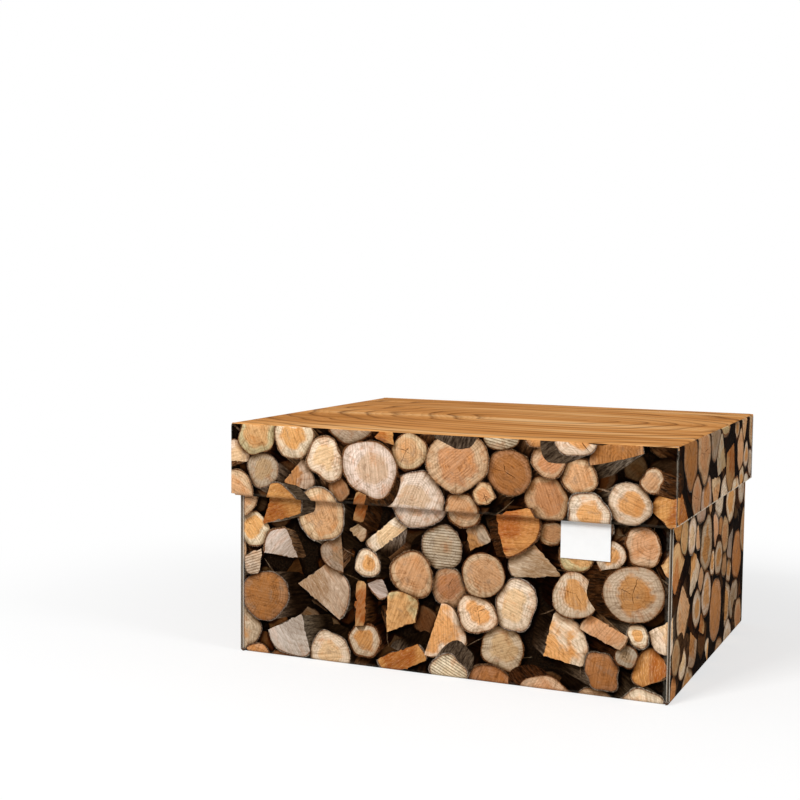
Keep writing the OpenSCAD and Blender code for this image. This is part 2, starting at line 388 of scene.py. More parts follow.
def cut_sheet(patches, outline, slices, shift):
    """Triangulates the part of the picture inside an outline. slices are lines that must be
    edges, so that the sheet can bend there. Returns points, triangles with the numbers of the
    patches over each, and the patches by number with how far each is moved to this wall."""
    low, high = outline.min(0) - 1, outline.max(0) + 1
    shapes = [outline]
    shown = [None]
    for item in patches:
        offset = np.array([wrapped(item.log.centre[0] - shift) - item.log.centre[0], 0])
        shape = item.points + offset
        if (shape.max(0) > low).all() and (shape.min(0) < high).all():
            shapes.append(shape)
            shown.append((item, offset))
    points, faces, edges = [], [], []
    for shape in shapes:
        faces.append(list(range(len(points), len(points) + len(shape))))
        points.extend(Vector(point) for point in shape)
    for ends in slices:
        edges.append((len(points), len(points) + 1))
        points.extend(Vector(end) for end in ends)
    points, _, triangles, _, _, origins = delaunay_2d_cdt(points, edges, faces, 0, MERGE_GAP, True)
    inside = [(corners, over) for corners, over in zip(triangles, origins) if 0 in over]
    return np.array([tuple(point) for point in points]), inside, shown


def reach_at(log, distances, points):
    """How far one of a log's outlines lies from its middle, in the direction of each point."""
    return np.interp(np.arctan2(points[:, 1], points[:, 0]), log.angles, distances, period=TURN)


def share_from_pith(log, own):
    """How far points lie from a log's pith to its rim, 0 to 1. A whole log's rings follow its
    rim; a split log's are arcs round the pith that it was split from."""
    if log.split:
        return np.linalg.norm(own - log.pith, axis=1) / log.grown
    share = np.linalg.norm(own, axis=1) / reach_at(log, log.wood, own)
    for _ in range(4):
        moved = own - log.pith * (1 - np.clip(share, 0, 1))[:, None]
        share = np.linalg.norm(moved, axis=1) / reach_at(log, log.wood, moved)
    return np.clip(share, 0, 1)


def look_of(item, offset, where):
    """The picture's layers at points of one patch."""
    log = item.log
    own = where - log.centre - offset
    count = len(own)
    turn, stretch = log.turn, 1.0
    shade = np.full(count, item.shade)
    colours, marks = log.crust, (0, 0, 0)
    if item.part == "wood":
        share = share_from_pith(log, own)
        colours, marks = log.colours, log.marks
        shade *= 1 + own @ FACE_GLOW / log.radius
        stretch = 0.2 if log.torn else 1.0
    elif item.part == "bark":
        inner = reach_at(log, log.wood, own)
        outer = reach_at(log, log.bark, own)
        share = np.clip((np.linalg.norm(own, axis=1) - inner) / np.maximum(outer - inner, 0.05), 0, 1)
        marks = (0, 1, 0)
    elif item.part == "side":
        share = np.clip(own @ item.away / (item.away @ item.away), 0, 1)
        turn, stretch = -math.atan2(item.away[1], item.away[0]), 0.2
        near_shade, far_shade = SIDE_LIGHT if log.depth > FORWARD else HIDDEN_LIGHT
        shade *= near_shade + (far_shade - near_shade) * share
    else:
        share = np.ones(count)
    from_pith = own - log.pith
    cos, sin = math.cos(turn), math.sin(turn)
    layers = np.empty((count, len(LAYERS), 3))
    layers[:, 0, 0] = (from_pith[:, 0] * cos - from_pith[:, 1] * sin) * stretch
    layers[:, 0, 1] = from_pith[:, 0] * sin + from_pith[:, 1] * cos
    layers[:, 0, 2] = log.seed
    layers[:, FORM] = np.stack([np.full(count, log.radius), share, shade], 1)
    layers[:, 2] = marks
    layers[:, 3], layers[:, 4] = colours
    return layers


def paint(points, inside, shown):
    """The picture's layers for each corner of each triangle."""
    top_patches, shadows = {}, {}
    for number, (_, over) in enumerate(inside):
        top = max((i for i in over if i and shown[i][0].part != "shadow"), default=0)
        top_patches.setdefault(top, []).append(number)
        below = shown[top][0].log if top else None
        for i in over:
            if i > top and shown[i][0].part == "shadow" and shown[i][0].log is not below:
                shadows.setdefault(i, []).append(number)
    corners = np.array([triangle for triangle, _ in inside])
    layers = np.zeros((len(inside), 3, len(LAYERS), 3), np.float32)
    layers[:, :, 0, :2] = points[corners]
    layers[:, :, FORM, SHADE] = GAP_SHADE
    layers[:, :, 3:] = [linear(colour)[:3] for colour in DARK_GAP]
    for top, members in top_patches.items():
        if top:
            item, offset = shown[top]
            found = look_of(item, offset, points[corners[members]].reshape(-1, 2))
            layers[members] = found.reshape(-1, 3, len(LAYERS), 3)
    for i, members in shadows.items():
        item, offset = shown[i]
        own = points[corners[members]].reshape(-1, 2) - item.log.centre - offset - SHADOW_SHIFT
        past = np.linalg.norm(own, axis=1) - reach_at(item.log, item.log.bark, own)
        lit = DEEPEST_SHADOW + (1 - DEEPEST_SHADOW) * np.clip(past / SHADOW_REACH, 0, 1) ** 0.8
        layers[members, :, FORM, SHADE] *= lit.reshape(-1, 3)
    return corners, layers


def feed(socket, value):
    """Gives a socket a value, another socket, or a node's first live output."""
    if isinstance(value, bpy.types.Node):
        value = next(output for output in value.outputs if output.enabled)
    if isinstance(value, bpy.types.NodeSocket):
        socket.id_data.links.new(value, socket)
    else:
        socket.default_value = value


def add_node(tree, kind, *inputs, stops=(), **settings):
    """Adds a node. kind is its type, or its type with a setting that always goes with it, and
    settings are its other properties. inputs are for its live inputs in their own order, or one
    dict gives them by name or number. stops are the colours of its ramp."""
    if isinstance(kind, tuple):
        kind, (setting, choice) = kind
        settings[setting] = choice
    node = tree.nodes.new(kind)
    for name, value in settings.items():
        setattr(node, name, value)
    if inputs and isinstance(inputs[0], dict):
        pairs = [(node.inputs[key], value) for key, value in inputs[0].items()]
    else:
        pairs = zip([socket for socket in node.inputs if socket.enabled], inputs)
    for socket, value in pairs:
        feed(socket, value)
    for number, (at, colour) in enumerate(stops):
        if number >= len(node.color_ramp.elements):
            node.color_ramp.elements.new(1.0)
        node.color_ramp.elements[number].position = at
        node.color_ramp.elements[number].color = linear(colour)
    return node


# Kinds of node. Each kind of math node comes with its operation. A noise is given its place,
# scale, detail and roughness.
VECTOR_MATH, MIX, RANGE = "ShaderNodeVectorMath", "ShaderNodeMix", "ShaderNodeMapRange"
SEPARATE, COMBINE, NOISE = "ShaderNodeSeparateXYZ", "ShaderNodeCombineXYZ", "ShaderNodeTexNoise"
PLACE, ATTRIBUTE = "ShaderNodeTexCoord", "ShaderNodeAttribute"
TINT = MIX, ("data_type", "RGBA")  # mixes two colours, where MIX mixes two numbers
(PLUS, MINUS, TIMES, OVER, TIMES_PLUS, POWER, SMALLER, LARGER, SIZE, FRACTION, WHOLE, SINE, COSINE,
 CLOSE, BELOW) = [("ShaderNodeMath", ("operation", operation)) for operation in (
    "ADD", "SUBTRACT", "MULTIPLY", "DIVIDE", "MULTIPLY_ADD", "POWER", "MINIMUM", "MAXIMUM", "ABSOLUTE",
    "FRACT", "FLOOR", "SINE", "COSINE", "COMPARE", "LESS_THAN")]


def new_geometry_tree(name, inputs):
    """An empty Geometry Nodes tree, what adds a node to it, and its inputs, which are given as
    (name, kind) pairs."""
    tree = bpy.data.node_groups.new(name, "GeometryNodeTree")
    tree.interface.new_socket("Geometry", in_out="OUTPUT", socket_type="NodeSocketGeometry")
    for label, kind in [("Geometry", "Geometry")] + inputs:
        tree.interface.new_socket(label, in_out="INPUT", socket_type="NodeSocket" + kind)
    add = partial(add_node, tree)
    return tree, add, add("NodeGroupInput").outputs


CREASE_INPUTS = (("Across", "Vector"), ("Crease at", "Float"), ("Half width", "Float"), ("Wear", "Float"))


def crease_group():
    """Bends a sheet a quarter turn at one crease. A point past the crease goes round an arc,
    and what lies past the arc stays flat. The sheet lies in the XZ plane and bends to +Y.
    Only the strip within the half width bends, and each crease may wear along its arc. That pale
    wear also stands for a painted highlight, strongest at the arc's middle."""
    tree, add, given = new_geometry_tree("bend_at_crease", [*CREASE_INPUTS, ("Radius", "Float")])
    radius = given["Radius"]
    place = add("GeometryNodeInputPosition")
    side, depth, _ = add(SEPARATE, place).outputs
    run = add(VECTOR_MATH, place, given["Across"], operation="DOT_PRODUCT")
    past = add(MINUS, run, given["Crease at"])
    raw_angle = add(OVER, past, radius)
    angle = add("ShaderNodeClamp", raw_angle, 0.0, math.pi / 2)
    used = add(TIMES, radius, angle)
    rest = add(MINUS, past, used)
    arm = add(MINUS, radius, depth)
    sine = add(SINE, angle)
    cosine = add(COSINE, angle)
    flat_along = add(TIMES, rest, cosine)
    along = add(TIMES_PLUS, arm, sine, flat_along)
    flat_inward = add(TIMES_PLUS, rest, sine, radius)
    arc_inward = add(TIMES, arm, cosine)
    inward = add(MINUS, flat_inward, arc_inward)
    back = add(MINUS, along, past)
    slide = add(VECTOR_MATH, given["Across"], back, operation="SCALE")
    sunk = add(MINUS, inward, depth)
    sink = add(COMBINE, {"Y": sunk})
    move = add(VECTOR_MATH, slide, sink, operation="ADD")
    off_middle = add(SIZE, side)
    bends = add(BELOW, off_middle, given["Half width"])
    bent = add("GeometryNodeSetPosition", {"Geometry": given["Geometry"], "Selection": bends, "Offset": move})
    # The crease's pale mark rises to the middle of its arc: rubbed wear, and a painted highlight where the
    # fold catches the light.
    double = add(TIMES, angle, 2.0)
    arc = add(SINE, double)
    fresh = add(TIMES, arc, given["Wear"])
    old = add("GeometryNodeInputNamedAttribute", {"Name": "crease"}, data_type="FLOAT")
    wear_and_highlight = add(LARGER, old, fresh)
    kept = add("GeometryNodeStoreNamedAttribute",
               {"Geometry": bent, "Selection": bends, "Name": "crease", "Value": wear_and_highlight},
               data_type="FLOAT", domain="POINT")
    add("NodeGroupOutput", kept)
    return tree


CREASES = 4
EVERYWHERE = 5000.0  # past any sheet's end, in mm
NO_CREASE = ((1, 0), EVERYWHERE, EVERYWHERE, 0)


def wrap_tree():
    """Folds a flat printed sheet at up to four creases, the outermost first, and puts it on
    its wall."""
    inputs = [("Radius", "Float"), ("Turn", "Vector"), ("Place", "Vector"), ("Material", "Material")]
    for number in range(CREASES):
        inputs += [(f"{label} {number}", kind) for label, kind in CREASE_INPUTS]
    tree, add, given = new_geometry_tree("wrap_print_sheet", inputs)
    bend = crease_group()
    shape = given["Geometry"]
    for number in range(CREASES):
        own = [given[f"{label} {number}"] for label, _ in CREASE_INPUTS]
        shape = add("GeometryNodeGroup", shape, *own, given["Radius"], node_tree=bend)
    placed = add("GeometryNodeTransform",
                 {"Geometry": shape, "Translation": given["Place"], "Rotation": given["Turn"]})
    real = add("GeometryNodeRealizeInstances", placed)
    painted = add("GeometryNodeSetMaterial", {"Geometry": real, "Material": given["Material"]})
    add("NodeGroupOutput", painted)
    return tree


def set_inputs(modifier, values):
    """Sets a tree's inputs on its modifier, each by its socket's identifier."""
    for item in modifier.node_group.interface.items_tree:
        if item.item_type == "SOCKET" and item.in_out == "INPUT" and item.name in values:
            modifier[item.identifier] = values[item.name]


def in_scene(name, data):
    """A new object in the scene that shows a mesh, or holds a lamp or the camera."""
    thing = bpy.data.objects.new(name, data)
    bpy.context.scene.collection.objects.link(thing)
    return thing


def rectangle(left, low, right, high):
    return np.array([(left, low), (right, low), (right, high), (left, high)], float)


def with_roll(half, far, roll_half, roll_at, roll_end, lug_end):
    """A wall's outline whose middle runs on past roll_at to roll_end, where the board is rolled
    over, between two narrow lugs that stand up to lug_end. far is the wall's other edge."""
    right = [(half, far), (half, lug_end), (roll_half + NOTCH, lug_end), (roll_half + NOTCH, roll_at),
             (roll_half, roll_at), (roll_half, roll_end)]
    if roll_end < far:
        right.reverse()
    return np.array(right + [(-x, z) for x, z in reversed(right)], float)


NOTCH = 0.1  # width of the slit between a lug and the roll
ARC_STEPS = 6
WEAR_W = 1.1  # how far in from a raw edge the print is rubbed
SHARP_ANGLE = math.radians(35)  # edges sharper than this aren't smoothed


def line_across(axis, at, low, high):
    """A line right across a sheet, at a place on its axis 0 or 1."""
    if axis == 0:
        return (at, low[1] - 1), (at, high[1] + 1)
    return (low[0] - 1, at), (high[0] + 1, at)


def crease_slices(creases, low, high):
    """Lines across the sheet at each step of each crease's arc."""
    lines = []
    for way, at, _, _ in creases:
        axis = 0 if way[0] else 1
        for step in range(ARC_STEPS + 1):
            distance = at + quarter_arc * step / ARC_STEPS
            lines.append(line_across(axis, way[axis] * distance, low, high))
    return lines


wrap = wrap_tree()
picture = make_picture()


def printed_sheet(name, body, outline, creases, raw, shift, turn, place, material):
    """One printed sheet: cut from the picture, folded, laminated on its wall. creases are
    (way across, place, half width, wear with painted highlight), and raw are its raw edges as
    (axis, place, wear)."""
    low, high = outline.min(0), outline.max(0)
    slices = crease_slices(creases, low, high)
    for axis, at, _ in raw:
        inner = at - math.copysign(WEAR_W, at - outline[:, axis].mean())
        slices.append(line_across(axis, inner, low, high))
    points, inside, shown = cut_sheet(picture if shift is not None else [], outline, slices, shift or 0)
    corners, layers = paint(points, inside, shown)
    used, corners = np.unique(corners, return_inverse=True)
    points = points[used]
    mesh = bpy.data.meshes.new(name)
    mesh.from_pydata([(x * MM, 0, z * MM) for x, z in points], [], corners.reshape(-1, 3).tolist())
    if shift is not None:
        for number, label in enumerate(LAYERS):
            values = np.ascontiguousarray(layers[:, :, number]).ravel()
            mesh.attributes.new(label, "FLOAT_VECTOR", "CORNER").data.foreach_set("vector", values)
    rubbed = np.zeros(len(points))
    for axis, at, wear in raw:
        rubbed = np.maximum(rubbed, wear * (1 - np.abs(points[:, axis] - at) / WEAR_W))
    mesh.attributes.new("raw_edge", "FLOAT", "POINT").data.foreach_set("value", rubbed)
    sheet = in_scene(name, mesh)
    fold = sheet.modifiers.new("fold", "NODES")
    fold.node_group = wrap
    values = {"Radius": sheet_r * MM, "Turn": turn, "Place": [v * MM for v in place], "Material": material}
    for number, ((x, z), at, half, wear) in enumerate(creases + [NO_CREASE] * (CREASES - len(creases))):
        for (label, _), value in zip(CREASE_INPUTS, ((x, 0, z), at * MM, half * MM, float(wear))):
            values[f"{label} {number}"] = value
    set_inputs(fold, values)
    thick = sheet.modifiers.new("thickness", "SOLIDIFY")
    thick.thickness = SHEET_T * MM
    thick.offset = -1
    bpy.context.view_layer.update()
    folded = bpy.data.meshes.new_from_object(sheet.evaluated_get(bpy.context.evaluated_depsgraph_get()))
    sheet.modifiers.clear()
    sheet.data = folded
    folded.name = name
    folded.shade_smooth()
    folded.set_sharp_from_angle(angle=SHARP_ANGLE)
    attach(sheet, body)
    return sheet


# ---- Materials ----
def new_material(name, roughness, specular=0.5):
    """A new material, what adds a node to it, and its shader."""
    material = bpy.data.materials.new(name)
    material.use_nodes = True
    shader = material.node_tree.nodes["Principled BSDF"]
    shader.inputs["Roughness"].default_value = roughness
    shader.inputs["Specular IOR Level"].default_value = specular
    return material, partial(add_node, material.node_tree), shader


# A matt dispersion varnish over ink: hardly any shine, so that the darks stay dark.
VARNISH_ROUGHNESS = 0.8
VARNISH_SHINE = 0.006


def log_print():
    """Litho-printed paper, matt varnished and laminated on the board. All it shows is in its
    ink: sawn ends with rings, rays and saw marks, torn faces, and bark that falls into shade."""
    material, add, shader = new_material("litho_print_matt_varnish", VARNISH_ROUGHNESS, VARNISH_SHINE)
    spot, form, marks, pale, deep = [
        add(ATTRIBUTE, attribute_name=name).outputs["Vector"] for name in LAYERS]
    radius, share, shade = add(SEPARATE, form).outputs
    sawn, line_marks, heart_at = add(SEPARATE, marks).outputs
    across, up, seed = add(SEPARATE, spot).outputs

    # Scales are per millimetre: slow patches of 15 mm, mottle of 2 mm, fibres of 0.6 mm.
    slow = add(NOISE, spot, 0.065, 3.0)
    mottle = add(NOISE, spot, 0.5, 4.0, 0.68)
    fibre = add(NOISE, spot, 1.6, 3.0, 0.7)

    # The heart's edge wanders. Bark and torn faces go from deep to pale with the mottle.
    ragged = add(TIMES_PLUS, slow, 1.1, share)
    ragged = add(TIMES_PLUS, mottle, 0.14, ragged)
    ragged = add(MINUS, ragged, heart_at)
    heart = add(RANGE, ragged, 0.50, 0.74, 1.0, 0.0, interpolation_type="SMOOTHSTEP")
    rough = add(RANGE, mottle, 0.34, 0.68, 1.0, 0.0, interpolation_type="SMOOTHSTEP")
    which = add(MIX, sawn, rough, heart)
    colour = add(TINT, which, pale, deep)

    # Stains: resin orange on some ends, weathered grey on others.
    stain = add(NOISE, spot, 0.11, 4.0, 0.6)
    for start, full, tone in ((0.52, 0.70, "#DC8C40"), (0.44, 0.30, "#AA9480")):
        stained = add(RANGE, stain, start, full, 0.0, 0.5)
        stained = add(TIMES, stained, sawn)
        colour = add(TINT, stained, colour, linear(tone))

    # Growth rings about 2 mm apart, strong in places.
    ring = add(TIMES, share, radius)
    ring = add(TIMES_PLUS, slow, 6.0, ring)
    ring = add(TIMES_PLUS, mottle, 1.2, ring)
    ring = add(TIMES, ring, 0.45)
    phase = add(FRACTION, ring)
    ring_line = add(POWER, phase, 3.0)
    ring_depth = add(RANGE, slow, 0.40, 0.62, 0.08, 0.42)
    ring_line = add(TIMES, ring_line, ring_depth)

    # Rays and fine dry splits that run out from the pith.
    flat_spot = add(COMBINE, across, up)
    direction = add(VECTOR_MATH, flat_spot, operation="NORMALIZE")
    own_start = add(COMBINE, {"Z": seed})
    ray_spot = add(VECTOR_MATH, direction, (9.0, 9.0, 9.0), own_start, operation="MULTIPLY_ADD")
    ray = add(NOISE, ray_spot, 1.0, 4.0, 0.7)
    ray = add(RANGE, ray, 0.50, 0.72, 0.0, 0.55)
    ray = add(TIMES, ray, share)

    # Saw marks: scratches all one way, and on some ends clear ridges 2.3 mm apart.
    scratch_spot = add(VECTOR_MATH, spot, (0.07, 1.0, 1.0), operation="MULTIPLY")
    scratch = add(NOISE, scratch_spot, 0.8, 4.0)
    scratch = add(RANGE, scratch, 0.30, 0.60, 0.30, 0.0)
    ridge = add(TIMES, mottle, 2.4)
    ridge = add(TIMES_PLUS, up, 2.7, ridge)
    ridge = add(SINE, ridge)
    ridge = add(RANGE, ridge, 0.1, 1.0, 0.0, 0.6)
    ridge = add(TIMES, ridge, line_marks)

    # The outermost ring is dark, and so are specks of dirt and patches of weathering.
    rim = add(POWER, share, 12.0)
    rim = add(TIMES, rim, 0.4)
    speck = add(RANGE, mottle, 0.36, 0.28, 0.0, 0.6)

    weather = add(NOISE, spot, 0.17, 5.0, 0.75)
    weather = add(RANGE, weather, 0.54, 0.72, 0.0, 0.5)

    # Each mark takes a share of the light from a sawn end.
    ink = None
    for mark in (ring_line, ray, scratch, ridge, rim, speck, weather):
        left = add(MINUS, 1.0, mark, use_clamp=True)
        ink = left if ink is None else add(TIMES, ink, left)
    crust_ink = add(RANGE, fibre, 0.30, 0.72, 0.3, 1.1)
    ink = add(MIX, sawn, crust_ink, ink)
    ink = add(TIMES, ink, shade)

    # Bark is red-brown where it meets the wood.
    is_bark = add(MINUS, line_marks, sawn, use_clamp=True)
    inner = add(RANGE, share, 0.0, 0.5, 0.85, 0.0)
    inner = add(TIMES, inner, is_bark)
    colour = add(TINT, inner, colour, linear("#A4602C"))

    # Pale fibres catch the light.
    glint = add(RANGE, fibre, 0.54, 0.76, 0.0, 0.35)
    glint = add(TIMES, glint, shade)
    colour = add(TINT, glint, colour, linear("#FFF0D6"))
    green = add(POWER, ink, 1.16)
    blue = add(POWER, ink, 1.36)
    inks = add("ShaderNodeCombineColor", ink, green, blue)
    colour = add(TINT, 1.0, colour, inks, blend_type="MULTIPLY")

    # Wear: the paper's white core shows in fine flecks at raw edges and corner creases. Along
    # the creases the flecks are also a painted highlight where the fold catches the light.
    raw = add(ATTRIBUTE, attribute_name="raw_edge").outputs["Fac"]
    crease = add(ATTRIBUTE, attribute_name="crease").outputs["Fac"]
    place = add(PLACE).outputs["Object"]
    rub = add(NOISE, place, 260.0, 3.0)
    rub = add(RANGE, rub, 0.38, 0.62, 0.1, 1.0)
    wear_and_highlight = add(PLUS, raw, crease)
    wear_and_highlight = add(TIMES, wear_and_highlight, rub, use_clamp=True)
    colour = add(TINT, wear_and_highlight, colour, linear("#D9CCB6"))
    feed(shader.inputs["Base Color"], colour)
    return material


# The plank's figure, in millimetres.
FIGURE_MIDDLE, STRAIGHT_HALF = 34.0, 28.0  # where its arches face each other, and how far apart
FIGURE_WANDER, RING_WANDER = 90.0, 33.0  # how far it and its single rings stray
RINGS_PER_MM = 0.053
DARKEST_AT = 0.65  # share of a ring at which its late wood is darkest


def plank_print():
    """The same varnished paper, printed with one wide flat-sawn plank. Its rings are cut at a
    low angle, so they show as long nested arches that face each other."""
    material, add, shader = new_material("plank_print_matt_varnish", VARNISH_ROUGHNESS, VARNISH_SHINE)
    place = add(PLACE).outputs["Object"]
    mm = add(VECTOR_MATH, place, (1000, 1000, 0), operation="MULTIPLY")
    x, y, _ = add(SEPARATE, mm).outputs
    # The same place squeezed lengthwise, so that a noise is drawn out along the grain.
    long_way, band_spot, thread_spot = [
        add(VECTOR_MATH, mm, (squeeze, 1, 1), operation="MULTIPLY") for squeeze in (0.3, 0.1, 0.03)]

    # The arches wander along the plank, round a long straight middle. On the left their tips
    # are wavy, and some rings are fainter than others.
    wander = add(NOISE, long_way, 0.012, 1.0)
    tips = add(NOISE, mm, 0.02, 2.0, 0.35)
    waviness = add(RANGE, x, -40.0, 90.0, 36.0, 10.0)
    off = add(TIMES_PLUS, wander, FIGURE_WANDER, y)
    off = add(MINUS, off, FIGURE_WANDER / 2)
    run = add(MINUS, x, FIGURE_MIDDLE)
    run = add(TIMES, run, 0.7)
    tips = add(MINUS, tips, 0.5)
    run = add(TIMES_PLUS, tips, waviness, run)
    run = add(SIZE, run)
    run = add(MINUS, run, STRAIGHT_HALF)
    run = add(LARGER, run, 0.0)
    oval = add(COMBINE, run, off)
    ring = add(VECTOR_MATH, oval, operation="LENGTH")
    ring = add(TIMES_PLUS, wander, RING_WANDER, ring)
    ring = add(TIMES, ring, RINGS_PER_MM)
    phase = add(FRACTION, ring)
    rise = add(OVER, phase, DARKEST_AT)
    fall = add(MINUS, 1.0, phase)
    fall = add(OVER, fall, 1 - DARKEST_AT)
    late = add(SMALLER, rise, fall)
    late = add(POWER, late, 4.4)
    between = add(TIMES, ring, 4.0)
    between = add(FRACTION, between)
    between = add(POWER, between, 1.6)

    # Honey-brown wood with paler and darker bands along the plank.
    bands = add(NOISE, band_spot, 0.022, 3.0, 0.6)
    wood = add("ShaderNodeValToRGB", bands,
               stops=[(0.34, "#AC7036"), (0.46, "#CB8B4D"), (0.56, "#DBA062"), (0.66, "#EDC08A")])
    between = add(TIMES, between, 0.36)
    wood = add(TINT, between, wood, linear("#A4662F"))
    ring_number = add(WHOLE, ring)
    depth = add("ShaderNodeTexWhiteNoise", {"W": ring_number}, noise_dimensions="1D")
    depth = add(RANGE, depth, 0.0, 1.0, 0.6, 1.0)
    late = add(TIMES, late, depth)
    fades = add(RANGE, tips, -0.20, 0.06, 0.5, 1.0)
    late = add(TIMES, late, fades)
    wood = add(TINT, late, wood, linear("#562A0C"))
    thread = add(NOISE, thread_spot, 0.5, 4.0, 0.65)
    for start, full, most, tone in ((0.52, 0.74, 0.35, "#E2B27A"), (0.44, 0.28, 0.4, "#8C5A2A")):
        threads = add(RANGE, thread, start, full, 0.0, most)
        wood = add(TINT, threads, wood, linear(tone))
    feed(shader.inputs["Base Color"], wood)
    return material


FLUTE_PITCH = 6.5
LINER_T = 0.35
FACE_PLAY = 0.04  # how exactly a point lies on a face, in mm


CUT_FLUTES, CUT_LINER = ("#5A4C3E", "#8F7F6C"), ("#94887A", "#C9BFB0")
DARK_CUT = ("#352A20", "#62523F")  # the lid's skirts, whose cut ends are drawn darker than the other cut edges


def board_material(name, axis, faces, flute_axis, flutes=CUT_FLUTES, liner=CUT_LINER, fold_tone=None):
    """White-lined corrugated board. Its bleached liner is smooth, with the flutes just
    showing through. Where it is cut, the fluting between the two liners shows as dull brown
    paper. A folded piece shows its print's own tone round the fold instead."""
    material, add, shader = new_material(name, 0.75, 0.3)
    place = add(PLACE).outputs["Object"]
    axes = add(SEPARATE, place).outputs
    pulp = add(NOISE, place, 700.0, 4.0, 0.6)
    cloud = add(NOISE, place, 35.0, 3.0)
    white = add(TINT, cloud, linear("#F3F0EA"), linear("#E2DDD2"))
    colour, *edge = [add(TINT, pulp, linear(dark), linear(light))
                     for dark, light in ([fold_tone] if fold_tone else [flutes, liner])]
    for at in faces if edge else ():
        in_liner = add(CLOSE, axes[axis], at * MM, LINER_T * MM)
        colour = add(TINT, in_liner, colour, edge[0])
    for at in faces:
        on_face = add(CLOSE, axes[axis], at * MM, FACE_PLAY * MM)
        colour = add(TINT, on_face, colour, white)
    feed(shader.inputs["Base Color"], colour)
    wave = add(TIMES, axes[flute_axis], TURN / (FLUTE_PITCH * MM))
    wave = add(SINE, wave)
    height = add(TIMES_PLUS, pulp, 0.5, wave)
    bump = add("ShaderNodeBump", {"Height": height, "Strength": 0.3, "Distance": 0.0001})
    feed(shader.inputs["Normal"], bump)
    return material


def label_material():
    """Coated label paper, die-cut and left bare: a clean white with the faintest mottle."""
    material, add, shader = new_material("coated_label_paper", 0.5, 0.3)
    place = add(PLACE).outputs["Object"]
    mottle = add(NOISE, place, 160.0, 3.0)
    colour = add(TINT, mottle, linear("#ECECEB"), linear("#F3F3F2"))
    feed(shader.inputs["Base Color"], colour)
    return material


logs_material = log_print()
plank_material = plank_print()

# ---- The printed sheets ----
sandwich = sheet_r * SANDWICH_ANGLE
mitre = sheet_r * MITRE_ANGLE
roll_length = 2 * quarter_arc + roll_flat + TURN_IN
DOWN, UP, LEFT, RIGHT = (0, -1), (0, 1), (-1, 0), (1, 0)
# Each wall's middle along the picture, its turn, and the way that it faces.
WALLS = {"front": (0.0, 0, (0, -1)), "right": (wall_step, math.pi / 2, (1, 0)),
         "back": (2 * wall_step, math.pi, (0, 1)), "left": (-wall_step, -math.pi / 2, (-1, 0))}
# A crease's pale mark is rubbed wear and also a painted highlight along the fold.
CORNER_WEAR_AND_HIGHLIGHT, RIM_WEAR_AND_HIGHLIGHT = 0.09, 0.05  # how rubbed a corner crease and a rolled rim are
RAW_WEAR, SKIRT_WEAR, LID_END_WEAR = 0.7, 0.3, 2.6  # and raw edges, most along the lid's ends


def wall_sheet(name, body, side, distance, outline, creases, raw):
    """The printed sheet of one wall that lies at that distance from the box's middle."""
    middle, turn, (x, y) = WALLS[side]
    reach = distance + SHEET_PROUD
    sheet = printed_sheet(name, body, outline, creases, raw, middle, (0, 0, turn),
                          (x * reach, y * reach, 0), logs_material)


def round_corners(half, low, high, edge_at, wear):
    """A wall that turns both corners of the box: its outline, its corner creases and the raw
    edge at one height."""
    corners = [(way, half, EVERYWHERE, CORNER_WEAR_AND_HIGHLIGHT) for way in (LEFT, RIGHT)]
    return rectangle(-half - sandwich, low, half + sandwich, high), corners, [(1, edge_at, wear)]


def rolled(half, far, roll_half, roll_at, way, lug_end, wear):
    """A wall with a rolled rim: its outline, the rim's two creases and its raw ends. way is UP
    or DOWN, to where the roll lies."""
    roll_half -= EDGE_INSET
    half -= EDGE_INSET
    up = way[1]
    over_rim = roll_half + NOTCH / 2
    creases = [(way, up * roll_at + quarter_arc + roll_flat, over_rim, 0),
               (way, up * roll_at, over_rim, RIM_WEAR_AND_HIGHLIGHT)]
    outline = with_roll(half, far, roll_half, roll_at, roll_at + up * roll_length, lug_end - up * EDGE_INSET)
    return outline, creases, [(0, -half, wear), (0, half, wear)]


foot = crease_r - sandwich
head = skirt_high.z + mitre
base_fold = [(DOWN, -crease_r, EVERYWHERE, RIM_WEAR_AND_HIGHLIGHT)]
top_fold = [(UP, skirt_high.z, EVERYWHERE, 0)]
wall_top = front_high.z - EDGE_INSET
outline, corners, raw = round_corners(front_high.x, foot, wall_top, wall_top, RAW_WEAR)
for side in ("front", "back"):
    wall_sheet(f"body_{side}_print", "box", side, -front_low.y, outline, base_fold + corners, raw)
outline, rim, raw = rolled(body_half_y, foot, rim_high.y, rim_low.z, UP, end_high.z, RAW_WEAR)
for side in ("left", "right"):
    wall_sheet(f"body_{side}_print", "box", side, body_half_x, outline, rim + base_fold, raw)
outline, rim, raw = rolled(
    skirt_high.x, head, lid_rim_high.x, lid_rim_high.z, DOWN, skirt_low.z, SKIRT_WEAR)
for side in ("front", "back"):
    wall_sheet(f"lid_{side}_print", "lid", side, lid_half_y, outline, rim + top_fold, raw)
skirt_foot = lid_end_low.z + EDGE_INSET
outline, corners, raw = round_corners(lid_end_high.y, skirt_foot, head, skirt_foot, LID_END_WEAR)
for side in ("left", "right"):
    wall_sheet(f"lid_{side}_print", "lid", side, lid_half_x, outline, top_fold + corners, raw)

